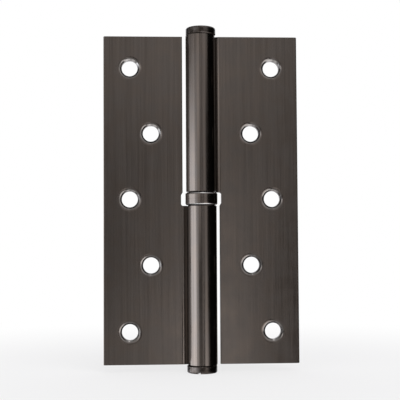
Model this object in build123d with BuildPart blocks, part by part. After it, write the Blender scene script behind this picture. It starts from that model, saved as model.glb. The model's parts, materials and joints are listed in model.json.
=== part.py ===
from build123d import *
import os
from math import acos, asin, atan2, cos, hypot, pi, radians, sin, sqrt, tan

# Lift-off butt hinge, opened flat and upright, in millimetres.
# The pin axis is Z, the leaves lie in X and Z, and the countersunk faces look along -Y.
# The origin is on the pin axis at mid height.

# Leaves: two pressings alike, one turned half a turn about Y
leaf_height = 125.0
leaf_reach = 37.1         # pin axis to the outer edge
sheet = 2.5
face_setback = 1.5        # pin axis to the countersunk face, which is half the closed gap
edge_clearance = 1.25     # between a knuckle and the edge of the other leaf
corner_r = 0.4
edge_break = 0.2          # bevel where the pressing was deburred

# Screw holes in a zigzag
hole_r = 3.05
countersink_r = 3.65
countersink_angle = 90.0
rim_width = 0.95          # of the soft rim that the press leaves round each countersink
rim_round_r = 2.6
outer_margin = 9.95       # outer edge to the outer holes
inner_margin = 12.07      # inner edge to the inner holes
end_margin = 12.26        # end of the leaf to its first hole

# Pin
pin_r = 3.25
running_gap = 0.05        # on the radius, between the pin and what turns on it
press = 0.02              # on the radius, where a piece is driven home
pin_head_room = 11.05     # between the pin's nose and the top cap
pin_nose_length = 2.2
pin_nose_r = 2.1
pin_foot_bevel = 0.5
pin_cap_gap = 0.6         # between the pin's foot and the bottom cap

# Knuckles: a tab of the sheet rolled round the pin and closed against its own leaf
roll_shift = 0.2          # the roll's outer round lies this far off the pin axis, away from its leaf
back_bend_r = 1.5         # inside of the bend, on the leaf's back
seam_gap = 0.5            # between the end of the roll and the leaf
knuckle_bevel = 0.25

# Notch beside the bearing, where the tab leaves the flat sheet
notch_depth = 0.6
notch_taper = 1.0
notch_corner_r = 0.8

# Bearing between the knuckles
bearing_space = 5.1       # between the two knuckle ends
bearing_seat_gap = 0.05   # between the upper race and the knuckle that stands on it
shell_proud = 0.3         # beyond the rolled sheet
shell_end_gap = 0.2       # between the shell and each knuckle
shell_wall = 0.5
shell_edge_r = 0.68
lip_depth = 0.95          # how far the shell's edges turn in from its outside
race_gap = 0.25           # between the upper race and the shell
ball_count = 13
ball_side_gap = 0.15      # least gap between a ball and the shell
ball_spacing = 0.05       # least gap between two balls
ball_play = 0.02          # between a ball and its grooves
groove_depth = 0.25

# Caps driven into the outer ends of the knuckles
cap_overhang = 0.09       # beyond the knuckle
cap_height = 2.85
cap_edge_r = 0.7
cap_under_bevel = 0.35
spigot_length = 8.0
spigot_bevel = 0.6
slot_width = 1.0
slot_depth = 0.6
slot_turn = 15.0          # degrees from the Y axis

half_height = leaf_height / 2
bore_r = pin_r + running_gap
knuckle_r = bore_r + sheet - roll_shift
knuckle_end = bearing_space / 2
cut_back = bore_r + sheet + edge_clearance
bend_start = cut_back + notch_depth
outer_column = leaf_reach - outer_margin
inner_column = cut_back + inner_margin
hole_step = (half_height - end_margin) / 2

# Section of a knuckle, seen from above, with its leaf on the +X side
bend_r = back_bend_r + sheet
bend_centre = Vector(bend_start, face_setback + bend_r)
roll_centre = Vector(-roll_shift, 0)
far_way = Vector(-1, 0)


def lead_angle(reach, radii):
    """Angle at which the sheet leaves its bend to touch a round that lies reach away."""
    return asin(radii / hypot(reach, bend_centre.Y)) - atan2(bend_centre.Y, reach)


def way(angle):
    """Direction at an angle from straight out of the countersunk face, turning away from the leaf."""
    return Vector(-sin(angle), -cos(angle))


def bend_arc(radius, lead):
    """The bend on one side of the sheet, from the flat leaf to the straight run."""
    return ThreePointArc(*[bend_centre + way(lead * share) * radius for share in (0, 0.5, 1)])


front_lead = lead_angle(bend_start, bore_r + bend_r)
back_lead = lead_angle(bend_start + roll_shift, knuckle_r + back_bend_r)
tongue_end = acos((seam_gap - bore_r) / (knuckle_r - roll_shift)) - front_lead
tongue_way = way(-tongue_end)
tongue_across = roll_shift * sin(tongue_end)
tongue_r = sqrt(knuckle_r**2 - roll_shift**2 + tongue_across**2) - tongue_across

# What one screw takes out of the sheet below its face: a soft rim, the countersink and the bore
rim_r = countersink_r + rim_width
rim_depth = rim_round_r - sqrt(rim_round_r**2 - rim_width**2)
countersink_depth = rim_depth + (countersink_r - hole_r) / tan(radians(countersink_angle / 2))
with BuildPart() as screw_hole:
    with BuildSketch(Plane.XZ):
        with BuildLine():
            TangentArc((rim_r, 0), (countersink_r, -rim_depth), tangent=(-1, 0))
            Polyline(
                (countersink_r, -rim_depth),
                (hole_r, -countersink_depth),
                (hole_r, -sheet),
                (0, -sheet),
                (0, 0),
                (rim_r, 0),
            )
        make_face()
    revolve(axis=Axis.Z)

with BuildPart() as door_leaf:
    # The flat sheet
    face = Plane.XZ.offset(-face_setback)
    with BuildSketch(face):
        with BuildLine():
            Polyline(
                (bend_start, half_height),
                (leaf_reach, half_height),
                (leaf_reach, -half_height),
                (cut_back, -half_height),
                (cut_back, 0),
                (bend_start, 0),
                close=True,
            )
        make_face()
    extrude(amount=-sheet)

    # The tab, bent back off the sheet and rolled round the pin
    with BuildSketch(Plane.XY.offset(knuckle_end - notch_corner_r)):
        with BuildLine():
            front_bend = bend_arc(bend_r, front_lead)
            Line(front_bend @ 1, way(front_lead) * -bore_r)
            ThreePointArc(way(front_lead) * -bore_r, far_way * bore_r, tongue_way * bore_r)
            Line(tongue_way * bore_r, tongue_way * tongue_r)
            roll_finish = roll_centre - way(back_lead) * knuckle_r
            ThreePointArc(tongue_way * tongue_r, roll_centre + far_way * knuckle_r, roll_finish)
            back_bend = bend_arc(back_bend_r, back_lead)
            Line(roll_finish, back_bend @ 1)
            Line(back_bend @ 0, front_bend @ 0)
        make_face()
    extrude(amount=half_height - knuckle_end + notch_corner_r)

    # Room for the bearing and for the other knuckle
    beyond = knuckle_r + roll_shift + sheet
    with BuildSketch(Plane.XZ) as relief:
        with BuildLine():
            Polyline(
                (-beyond, knuckle_end),
                (bend_start, knuckle_end),
                (bend_start, notch_taper - knuckle_end),
                (cut_back, -knuckle_end),
                (cut_back, -half_height - sheet),
                (-beyond, -half_height - sheet),
                close=True,
            )
        make_face()
        fillet(relief.vertices().group_by(Axis.X)[-1].sort_by(Axis.Y)[-1], notch_corner_r)
    extrude(amount=beyond, both=True, mode=Mode.SUBTRACT)

    # Corners and screw holes
    fillet(door_leaf.edges().filter_by(Axis.Y).group_by(Axis.X)[-1], corner_r)
    outer_places = [(outer_column, row * hole_step) for row in (-2, 0, 2)]
    inner_places = [(inner_column, row * hole_step) for row in (-1, 1)]
    with Locations(face):
        with Locations(*outer_places, *inner_places):
            add(screw_hole.part, mode=Mode.SUBTRACT)

    # Bevels round the knuckle's ends and along the countersunk face
    roll_edges = door_leaf.edges().filter_by(GeomType.CIRCLE)
    knuckle_rims = roll_edges.filter_by(lambda edge: abs(edge.radius - knuckle_r) < edge_break)
    chamfer(knuckle_rims, knuckle_bevel)
    face_edges = door_leaf.faces().filter_by(Axis.Y).sort_by(Axis.Y)[0].outer_wire().edges()
    chamfer(face_edges.filter_by(lambda edge: abs(edge.center().X - bend_start) > edge_break), edge_break)

with BuildPart() as frame_leaf:
    add(door_leaf.part, rotation=(0, 180, 0))

with BuildPart() as hinge_pin:
    foot = spigot_length + pin_cap_gap - half_height
    top = half_height - spigot_length - pin_head_room
    driven_r = bore_r + press
    with BuildSketch(Plane.XZ):
        with BuildLine():
            Polyline(
                (0, foot),
                (driven_r - pin_foot_bevel, foot),
                (driven_r, foot + pin_foot_bevel),
                (driven_r, -knuckle_end - pin_foot_bevel),
                (pin_r, -knuckle_end),
                (pin_r, top - pin_nose_length),
                (pin_nose_r, top),
                (0, top),
                close=True,
            )
        make_face()
    revolve(axis=Axis.Z)

# Thrust bearing: two races and a full ring of balls, held together by a shell with turned-in edges.
# The balls are the largest that fit both the shell and side by side round their track.
shell_r = bore_r + sheet + shell_proud
shell_end = knuckle_end - shell_end_gap
shell_inner_r = shell_r - shell_wall
lip_r = shell_r - lip_depth
lip_face = shell_end - shell_wall
ball_track_r = (bore_r + shell_inner_r) / 2
shell_room_r = (shell_inner_r - bore_r) / 2 - ball_side_gap
ring_room_r = ball_track_r * sin(pi / ball_count) - ball_spacing / 2
ball_r = min(shell_room_r, ring_room_r)
race_face = ball_r + ball_play - groove_depth

with BuildPart() as bearing_shell:
    with BuildSketch(Plane.XZ) as shell_section:
        with Locations((shell_r, 0)):
            Rectangle(lip_depth, 2 * shell_end, align=(Align.MAX, Align.CENTER))
        fillet(shell_section.vertices().group_by(Axis.X)[-1], shell_edge_r)
        with Locations((shell_inner_r, 0)):
            Rectangle(lip_depth, 2 * lip_face, align=(Align.MAX, Align.CENTER), mode=Mode.SUBTRACT)
    revolve(axis=Axis.Z)


def race(seat, shoulder_r, boss_r, shoulder_face):
    """A grooved washer above mid height, with a wide shoulder and a narrower boss up to its seat."""
    with BuildPart() as washer:
        with BuildSketch(Plane.XZ):
            with BuildLine():
                Polyline(
                    (bore_r, race_face),
                    (shoulder_r, race_face),
                    (shoulder_r, shoulder_face),
                    (boss_r, shoulder_face),
                    (boss_r, seat),
                    (bore_r, seat),
                    close=True,
                )
            make_face()
            with Locations((ball_track_r, 0)):
                Circle(ball_r + ball_play, mode=Mode.SUBTRACT)
        revolve(axis=Axis.Z)
    return washer.part


with BuildPart() as upper_race:
    loose_seat = knuckle_end - bearing_seat_gap
    add(race(loose_seat, shell_inner_r - race_gap, lip_r - race_gap, lip_face - race_gap))

with BuildPart() as lower_race:
    add(race(knuckle_end, shell_inner_r, lip_r, lip_face), rotation=(180, 0, 0))


def turned_cap(slotted):
    """A cap for the upper end, with its head on the knuckle and its spigot in the bore."""
    cap_r = knuckle_r + cap_overhang
    head_top = half_height + cap_height
    spigot_r = bore_r + press
    with BuildPart() as cap:
        with BuildSketch(Plane.XZ) as cap_section:
            with BuildLine():
                Polyline(
                    (0, half_height - spigot_length),
                    (spigot_r - spigot_bevel, half_height - spigot_length),
                    (spigot_r, half_height - spigot_length + spigot_bevel),
                    (spigot_r, half_height),
                    (cap_r - cap_under_bevel, half_height),
                    (cap_r, half_height + cap_under_bevel),
                    (cap_r, head_top),
                    (0, head_top),
                    close=True,
                )
            make_face()
            fillet(cap_section.vertices().group_by(Axis.Y)[-1].sort_by(Axis.X)[-1], cap_edge_r)
        revolve(axis=Axis.Z)
        if slotted:
            with BuildSketch(Plane.XY.offset(head_top)):
                Rectangle(slot_width, 3 * cap_r, rotation=slot_turn)
            extrude(amount=-slot_depth, mode=Mode.SUBTRACT)
    return cap.part


with BuildPart() as top_cap:
    add(turned_cap(slotted=False))

with BuildPart() as bottom_cap:
    add(turned_cap(slotted=True), rotation=(180, 0, 0))

pieces = {
    "frame_leaf": frame_leaf,
    "door_leaf": door_leaf,
    "hinge_pin": hinge_pin,
    "top_cap": top_cap,
    "bottom_cap": bottom_cap,
    "bearing_shell": bearing_shell,
    "lower_race": lower_race,
    "upper_race": upper_race,
}

for number, place in enumerate(PolarLocations(ball_track_r, ball_count), start=1):
    with BuildPart() as ball:
        with Locations(place):
            Sphere(ball_r)
    pieces[f"bearing_ball_{number:02d}"] = ball

os.makedirs("parts", exist_ok=True)
for label, piece in pieces.items():
    piece.part.label = label
    export_step(piece.part, f"parts/{label}.step")
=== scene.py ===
"""Lift-off butt hinge, opened flat and upright: dark nickel-plated steel on a plain pale floor."""
import json
import math

import bmesh
import bpy
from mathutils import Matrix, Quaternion, Vector


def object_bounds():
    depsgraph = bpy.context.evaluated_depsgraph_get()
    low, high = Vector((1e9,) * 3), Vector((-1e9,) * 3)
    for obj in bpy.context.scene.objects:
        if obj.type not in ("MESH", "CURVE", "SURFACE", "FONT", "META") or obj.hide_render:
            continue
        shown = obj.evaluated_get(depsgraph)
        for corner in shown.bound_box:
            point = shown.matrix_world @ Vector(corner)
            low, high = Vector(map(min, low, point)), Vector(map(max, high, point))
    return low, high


MM = 0.001

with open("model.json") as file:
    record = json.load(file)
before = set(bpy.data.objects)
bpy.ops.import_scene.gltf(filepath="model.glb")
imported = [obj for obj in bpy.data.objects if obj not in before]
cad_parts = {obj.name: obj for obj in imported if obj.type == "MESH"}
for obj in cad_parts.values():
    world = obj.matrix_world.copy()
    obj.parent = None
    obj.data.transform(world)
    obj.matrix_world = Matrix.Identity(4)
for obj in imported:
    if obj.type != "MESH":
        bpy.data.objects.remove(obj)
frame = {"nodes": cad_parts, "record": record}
cad_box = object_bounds()
scene = bpy.context.scene
finish_colour = {row["slot"]: row["base_color"] for row in frame["record"]["materials"]}
slot_of = {row["node"]: row["material_slot"] for row in frame["record"]["subparts"]}

# Screw holes as distances from the pin axis and from mid height. The outer column has one at mid height too.
hole_places = []
for mount in frame["record"]["mounts"]:
    if mount["name"] in ("door_outer_screws", "door_inner_screws"):
        hole_places.append((mount["pos_m"][0], mount["dims"]["spacing_y_mm"] / 2 * MM))
hole_places.append((max(across for across, up in hole_places), 0.0))

# Streaks: fine ones, with broader and longer ones among them
fine_streak = 0.3 * MM
fine_length = 25 * MM
broad_streak = 0.9 * MM
broad_length = 75 * MM
broad_share = 0.4
gloss_blotch_share = 0.5
full_span = (0.3, 0.7)      # nearly all values of the noise lie between these
middle_span = (0.35, 0.65)  # and most of them between these

# Distance from the pin axis over which the gloss of the rolled knuckles gives way to that of the flat leaves
roll_to_flat = (6 * MM, 9 * MM)

# Painted light: shade on the bearing's races, highlights on its shell's edges and at the countersinks. Each
# pair is where the change of colour starts and ends
race_shade_edge = (3.9 * MM, 4.5 * MM)    # from the pin axis, so the shaft stays free of painted shade
race_shade_level = 0.015
shell_edge = (1.8 * MM, 2.0 * MM)   # from mid height
shell_highlight_share = 0.5
seat_edge = (3.4 * MM, 4.3 * MM)    # from the middle of a screw hole
seat_back = (2.4 * MM, 2.8 * MM)    # behind the pin axis, where the countersink ends
seat_highlight_share = 0.22


# Node helpers
def add_node(tree, kind, **settings):
    """A shader node; settings name its properties."""
    node = tree.nodes.new(kind)
    for key, value in settings.items():
        setattr(node, key, value)
    return node


def feed(tree, socket, value):
    """Give an input socket a number, a vector or another node's output."""
    if isinstance(value, bpy.types.NodeSocket):
        tree.links.new(value, socket)
    else:
        socket.default_value = value


def math_node(tree, operation, *values):
    node = add_node(tree, "ShaderNodeMath", operation=operation)
    for socket, value in zip(node.inputs, values):
        feed(tree, socket, value)
    return node.outputs[0]


def vector_node(tree, operation, *values):
    node = add_node(tree, "ShaderNodeVectorMath", operation=operation)
    for socket, value in zip(node.inputs, values):
        feed(tree, socket, value)
    return node.outputs[0]


def vector_length(tree, vector):
    node = add_node(tree, "ShaderNodeVectorMath", operation="LENGTH")
    feed(tree, node.inputs[0], vector)
    return node.outputs["Value"]


def scaled(tree, vector, factor):
    node = add_node(tree, "ShaderNodeVectorMath", operation="SCALE")
    feed(tree, node.inputs[0], vector)
    feed(tree, node.inputs["Scale"], factor)
    return node.outputs[0]


def component(tree, vector, axis):
    """The X, Y or Z part of a vector."""
    parts = add_node(tree, "ShaderNodeSeparateXYZ")
    feed(tree, parts.inputs[0], vector)
    return parts.outputs[axis]


def ramp(tree, value, start, end, low=0.0, high=1.0):
    """Low up to start, high beyond end, and a smooth change between."""
    node = add_node(tree, "ShaderNodeMapRange", interpolation_type="SMOOTHSTEP")
    for name, setting in (("From Min", start), ("From Max", end), ("To Min", low), ("To Max", high)):
        node.inputs[name].default_value = setting
    feed(tree, node.inputs["Value"], value)
    return node.outputs["Result"]


def mixed(tree, share, first, second):
    """A colour from first to second as the share goes from 0 to 1."""
    node = add_node(tree, "ShaderNodeMix", data_type="RGBA")
    for name, value in (("Factor_Float", share), ("A_Color", first), ("B_Color", second)):
        socket = next(socket for socket in node.inputs if socket.identifier == name)
        feed(tree, socket, value)
    return next(socket for socket in node.outputs if socket.identifier == "Result_Color")


def blended(tree, first, second, share):
    """A number from first to second as the share goes from 0 to 1."""
    return math_node(
        tree, "ADD", math_node(tree, "MULTIPLY", first, 1 - share), math_node(tree, "MULTIPLY", second, share)
    )


def noise(tree, place, detail=2.0):
    """Noise from 0 to 1 about 0.5, one grain to each unit of place."""
    node = add_node(tree, "ShaderNodeTexNoise")
    feed(tree, node.inputs["Vector"], place)
    node.inputs["Scale"].default_value = 1.0
    node.inputs["Detail"].default_value = detail
    return node.outputs["Fac"]


def new_material(name):
    material = bpy.data.materials.new(name)
    material.use_nodes = True
    material.node_tree.nodes.clear()
    return material, material.node_tree


# Places on the hinge, which stay with each piece when it moves
def place_on_hinge(tree):
    return add_node(tree, "ShaderNodeTexCoord").outputs["Object"]


def from_axis(tree):
    """Distance from the pin axis."""
    return vector_length(tree, vector_node(tree, "MULTIPLY", place_on_hinge(tree), (1.0, 1.0, 0.0)))


def from_middle(tree):
    """Height above or below the middle of the hinge."""
    return math_node(tree, "ABSOLUTE", component(tree, place_on_hinge(tree), "Z"))


def from_hole(tree):
    """Distance to the middle of the nearest screw hole. All four quarters of the hinge have them alike."""
    quarter = vector_node(tree, "ABSOLUTE", place_on_hinge(tree))
    flattened = vector_node(tree, "MULTIPLY", quarter, (1.0, 0.0, 1.0))
    reaches = [
        vector_length(tree, vector_node(tree, "SUBTRACT", flattened, (across, 0.0, up)))
        for across, up in hole_places
    ]
    nearest = reaches[0]
    for reach in reaches[1:]:
        nearest = math_node(tree, "MINIMUM", nearest, reach)
    return nearest


# Grain: where the streaks of a finish run, as the place that its noise is read at
def upright_grain(tree, across, along):
    """Streaks that run up the leaves and up their rolled knuckles."""
    return vector_node(tree, "DIVIDE", place_on_hinge(tree), (across, across, along))


def turned_grain(tree, across, along):
    """Fine rings round the pin axis, as a lathe leaves them on sides and ends alike."""
    place = vector_node(tree, "DIVIDE", place_on_hinge(tree), (along, along, across))
    return vector_node(tree, "ADD", place, scaled(tree, (0.0, 0.0, 1 / across), from_axis(tree)))


def even_grain(tree, size):
    """Grain alike in every direction."""
    return vector_node(tree, "DIVIDE", place_on_hinge(tree), (size, size, size))


# Painted light: shade and highlights painted into a finish's colour
def races_in_shade(tree, colour):
    """Painted shade on the bearing's races and balls outside the shaft, darkening the gaps beside the shell.
    """
    return scaled(tree, colour, ramp(tree, from_axis(tree), *race_shade_edge, 1.0, race_shade_level))


def steel_highlight(tree, colour, share):
    """Plating brightened towards bare steel by a share from 0 to 1, as a painted highlight."""
    return mixed(tree, share, colour, (*finish_colour["bright_steel"], 1))


def shell_edge_highlight(tree, colour):
    """Painted highlights along the two rounded edges of the bearing's shell."""
    return steel_highlight(tree, colour, ramp(tree, from_middle(tree), *shell_edge, 0.0, shell_highlight_share))


def seat_highlight(tree, colour):
    """Painted highlights in the countersinks and on the rim round each of them."""
    seat = ramp(tree, from_hole(tree), *seat_edge, seat_highlight_share, 0.0)
    front = ramp(tree, component(tree, place_on_hinge(tree), "Y"), *seat_back, 1.0, 0.0)
    return steel_highlight(tree, colour, math_node(tree, "MULTIPLY", seat, front))


# Materials
def tinted(name, lean):
    """A finish made warmer by a positive share and cooler by a negative one."""
    red, green, blue = finish_colour[name]
    return (red * (1 + lean), green, blue * (1 - lean), 1)


def grained_metal(
    name,
    grain,
    painted_light=None,
    *,
    roughness,
    roughness_swing,
    shade_swing,
    tint_swing,
    blotch,
    blotch_share,
    groove,
    anisotropy,
):
    """Bare or plated metal with streaks and blotches in its shade, gloss and surface.

    grain makes the place of the streaks, and the third argument, when given, paints shade or highlights into
    the finished colour. roughness is that of the round parts and of the flat leaves. Each swing is how far
    the roughness, the shade and the tint move to either side. blotch is the blotches' size, blotch_share is
    their share of the shade, groove is the streaks' depth, and anisotropy is how far the streaks stretch a
    highlight.
    """
    material, tree = new_material(name)
    shader = add_node(tree, "ShaderNodeBsdfPrincipled")
    out = add_node(tree, "ShaderNodeOutputMaterial")
    tree.links.new(shader.outputs["BSDF"], out.inputs["Surface"])
    shader.inputs["Metallic"].default_value = 1.0
    shader.inputs["Anisotropic"].default_value = anisotropy

    fine = noise(tree, grain(tree, fine_streak, fine_length), detail=3.0)
    broad = noise(tree, grain(tree, broad_streak, broad_length))
    streaks = blended(tree, fine, broad, broad_share)
    blotches = noise(tree, even_grain(tree, blotch), detail=3.0)

    # Shade and tint
    pattern = blended(tree, streaks, blotches, blotch_share)
    shade = ramp(tree, pattern, *full_span, 1 - shade_swing, 1 + shade_swing)
    coolness = ramp(tree, blotches, *middle_span)
    tint = mixed(tree, coolness, tinted(name, tint_swing), tinted(name, -tint_swing))
    metal_colour = scaled(tree, tint, shade)
    # Painted shade or highlights, where the finish has them
    if painted_light:
        metal_colour = painted_light(tree, metal_colour)
    tree.links.new(metal_colour, shader.inputs["Base Color"])

    # Gloss
    gloss = blended(tree, streaks, blotches, gloss_blotch_share)
    swing = ramp(tree, gloss, *middle_span, -roughness_swing, roughness_swing)
    middle = ramp(tree, from_axis(tree), *roll_to_flat, *roughness)
    tree.links.new(math_node(tree, "ADD", middle, swing), shader.inputs["Roughness"])

    # Grooves
    bump = add_node(tree, "ShaderNodeBump")
    bump.inputs["Distance"].default_value = groove
    tree.links.new(fine, bump.inputs["Height"])
    tree.links.new(bump.outputs["Normal"], shader.inputs["Normal"])
    brushed = add_node(tree, "ShaderNodeTangent", direction_type="RADIAL", axis="Z")
    tree.links.new(brushed.outputs[0], shader.inputs["Tangent"])
    return material


# The leaves are plated, the caps blackened, and the pin and the bearing's races and balls ground
plating = {
    "roughness": (0.18, 0.15),
    "roughness_swing": 0.02,
    "shade_swing": 0.14,
    "tint_swing": 0.015,
    "blotch": 5 * MM,
    "blotch_share": 0.0,
    "anisotropy": 0.3,
}
blackening = {
    "roughness": (0.25, 0.25),
    "roughness_swing": 0.06,
    "shade_swing": 0.55,
    "tint_swing": 0.03,
    "blotch": 1.6 * MM,
    "blotch_share": 0.8,
    "anisotropy": 0.3,
}
grinding = {
    "roughness": (0.2, 0.2),
    "roughness_swing": 0.05,
    "shade_swing": 0.05,
    "tint_swing": 0.01,
    "blotch": 5 * MM,
    "blotch_share": 0.0,
    "anisotropy": 0.4,
}
# The plating carries painted highlights at the countersinks, and the ground steel carries painted shade on
# the bearing's races and balls
materials = {
    "black_nickel": grained_metal("black_nickel", upright_grain, seat_highlight, groove=0.006 * MM, **plating),
    "dark_oxide": grained_metal("dark_oxide", turned_grain, groove=0.006 * MM, **blackening),
    "bright_steel": grained_metal("bright_steel", turned_grain, races_in_shade, groove=0.002 * MM, **grinding),
}
for node_name, node in frame["nodes"].items():
    node.material_slots[0].material = materials[slot_of[node_name]]

# The bearing's shell is plated as the leaves are, but turned, with painted highlights on its two rounded
# edges
shell_finish = grained_metal("black_nickel", turned_grain, shell_edge_highlight, groove=0.003 * MM, **plating)
frame["nodes"]["bearing_shell"].material_slots[0].material = shell_finish


# Camera: the photograph's distance, direction and lens, aimed near the middle of the hinge
view_distance = 350 * MM
view_azimuth = math.radians(-3.069)
view_rise = math.radians(2.833)
view_roll = math.radians(-0.317)
aim = Vector((-0.528, 0.049, -0.418)) * MM
focal_length = 82.99
sensor = 36.0

level = Vector((-math.sin(view_azimuth), math.cos(view_azimuth), 0))
ahead = level * math.cos(view_rise) + Vector((0, 0, math.sin(view_rise)))
camera_data = bpy.data.cameras.new("camera")
camera_data.lens = focal_length
camera_data.sensor_width = sensor
camera_data.clip_start = 0.01
camera_data.clip_end = 20
camera = bpy.data.objects.new("camera", camera_data)
scene.collection.objects.link(camera)
camera.rotation_mode = "QUATERNION"
camera.location = aim - ahead * view_distance
camera.rotation_quaternion = ahead.to_track_quat("-Z", "Y") @ Quaternion((0, 0, 1), view_roll)
scene.camera = camera

# Studio: soft panels of light round the hinge, as metal sees them, with angles in degrees.
# Azimuth 0 is in front of the hinge and positive to its right; elevation 0 is level with it.
cool_white = (0.95, 1.0, 1.1)
plain_white = (1.0, 0.99, 1.02)
panels = [
    # azimuths, elevations, radiance, width of the fading edges, colour
    # To the left
    ((-112, -50), (-25, 8), 5.4, (8, 10), cool_white),
    ((-66, -50), (-25, 8), 0.6, (12, 10), cool_white),
    ((-50, -31), (-60, 8), 1.6, (8, 10), cool_white),
    ((-50, -31), (-4, 8), 0.8, (8, 10), cool_white),
    ((-31, -10), (1, 12), 1.8, (12, 6), plain_white),
    # In front, where the flat leaves look
    ((-60, 7), (-30, -4), 0.62, (7, 6), plain_white),
    ((-5, 7), (-5, 8), 0.6, (5, 10), plain_white),
    ((2.5, 7), (-20, 4), 0.9, (3, 8), plain_white),
    ((1, 5), (-10, -3), 0.6, (2, 4), plain_white),
    # To the right
    ((14.5, 38), (-60, 11), 1.25, (9, 20), plain_white),
    ((16, 47), (-30, -6), 2.0, (7, 5), plain_white),
    ((6, 14), (1, 90), 0.35, (4, 8), plain_white),
    # Above
    ((-112, 7), (8, 90), 0.6, (6, 8), plain_white),
    ((-66, -5), (8, 90), 0.3, (10, 8), plain_white),
    ((-1, 7), (8, 90), 0.55, (8, 8), plain_white),
    ((4, 7), (4, 90), 0.15, (3, 8), plain_white),
    ((11, 18), (9, 90), 0.9, (3, 6), plain_white),
    ((18, 55), (11, 90), 1.2, (3, 8), plain_white),
    ((-10, 50), (50, 88), 2.0, (10, 8), plain_white),
    # Below
    ((-97, 97), (-100, -45), 1.2, (14, 12), plain_white),
    ((-25, 75), (-100, -32), 1.1, (20, 10), plain_white),
    # Behind
    ((55, 179), (24, 90), 0.8, (10, 10), plain_white),
    ((48, 179), (-90, -40), 0.8, (10, 12), plain_white),
    ((140, 180), (-18, 24), 1.0, (10, 12), plain_white),
    ((-180, -140), (-18, 24), 1.0, (10, 12), plain_white),
    ((-179, -112), (24, 90), 0.8, (10, 10), plain_white),
    ((-179, -60), (-90, -18), 0.8, (10, 12), plain_white),
]
room_light = 0.01


def window(tree, value, span, fading):
    """1 between two angles, fading to 0 beyond them."""
    rise = ramp(tree, value, span[0] - fading / 2, span[0] + fading / 2)
    fall = ramp(tree, value, span[1] - fading / 2, span[1] + fading / 2, 1.0, 0.0)
    return math_node(tree, "MULTIPLY", rise, fall)


def panel_light(tree):
    """The light of the room and of all panels, in the direction that is looked in."""
    direction = add_node(tree, "ShaderNodeTexCoord").outputs["Generated"]
    right = component(tree, direction, "X")
    forward = math_node(tree, "MULTIPLY", component(tree, direction, "Y"), -1.0)
    azimuth = math_node(tree, "DEGREES", math_node(tree, "ARCTAN2", right, forward))
    elevation = math_node(tree, "DEGREES", math_node(tree, "ARCSINE", component(tree, direction, "Z")))
    light = (room_light, room_light, room_light)
    for azimuths, elevations, radiance, fading, colour in panels:
        across = window(tree, azimuth, azimuths, fading[0])
        share = math_node(tree, "MULTIPLY", across, window(tree, elevation, elevations, fading[1]))
        panel = scaled(tree, [radiance * part for part in colour], share)
        light = vector_node(tree, "ADD", light, panel)
    return light


def studio_world():
    """White to the camera, and the panels to all that they light."""
    world = bpy.data.worlds.new("world")
    world.use_nodes = True
    tree = world.node_tree
    tree.nodes.clear()
    studio = add_node(tree, "ShaderNodeBackground")
    tree.links.new(panel_light(tree), studio.inputs["Color"])
    background = add_node(tree, "ShaderNodeBackground")
    background.inputs["Color"].default_value = (1, 1, 1, 1)
    path = add_node(tree, "ShaderNodeLightPath")
    mix = add_node(tree, "ShaderNodeMixShader")
    tree.links.new(path.outputs["Is Camera Ray"], mix.inputs[0])
    tree.links.new(studio.outputs[0], mix.inputs[1])
    tree.links.new(background.outputs[0], mix.inputs[2])
    out = add_node(tree, "ShaderNodeOutputWorld")
    tree.links.new(mix.outputs[0], out.inputs["Surface"])
    return world


scene.world = studio_world()


# Floor: as white as the background to the eye, with the hinge's soft shadow round its foot.
# The metal sees the panels below it instead, which stand for a lit table.
floor_radius = 600 * MM
floor_white = 0.7
shadow_share = 0.3
shadow_span = (60 * MM, 240 * MM)   # from the pin axis, where the shadow fades out


def floor_material():
    """Paint that catches the shadow near the hinge and turns into plain white further out."""
    material, tree = new_material("floor")
    out = add_node(tree, "ShaderNodeOutputMaterial")
    paint = add_node(tree, "ShaderNodeBsdfDiffuse")
    paint.inputs["Color"].default_value = (floor_white, floor_white, floor_white, 1)
    glow = add_node(tree, "ShaderNodeEmission")
    path = add_node(tree, "ShaderNodeLightPath")
    seen = math_node(tree, "MAXIMUM", path.outputs["Is Camera Ray"], path.outputs["Is Glossy Ray"])
    seen = math_node(tree, "MAXIMUM", seen, path.outputs["Is Transmission Ray"])
    share = ramp(tree, from_axis(tree), *shadow_span, 1 - shadow_share, 1.0)
    mix = add_node(tree, "ShaderNodeMixShader")
    feed(tree, mix.inputs[0], math_node(tree, "MULTIPLY", seen, share))
    tree.links.new(paint.outputs[0], mix.inputs[1])
    tree.links.new(glow.outputs[0], mix.inputs[2])
    tree.links.new(mix.outputs[0], out.inputs["Surface"])
    return material


floor_mesh = bpy.data.meshes.new("floor")
outline = bmesh.new()
bmesh.ops.create_circle(outline, cap_ends=True, segments=96, radius=floor_radius)
outline.to_mesh(floor_mesh)
outline.free()
floor_mesh.materials.append(floor_material())
floor = bpy.data.objects.new("floor", floor_mesh)
floor.location.z = cad_box[0][2]
floor.visible_glossy = False
floor.visible_shadow = False
scene.collection.objects.link(floor)

scene.view_settings.view_transform = "Standard"
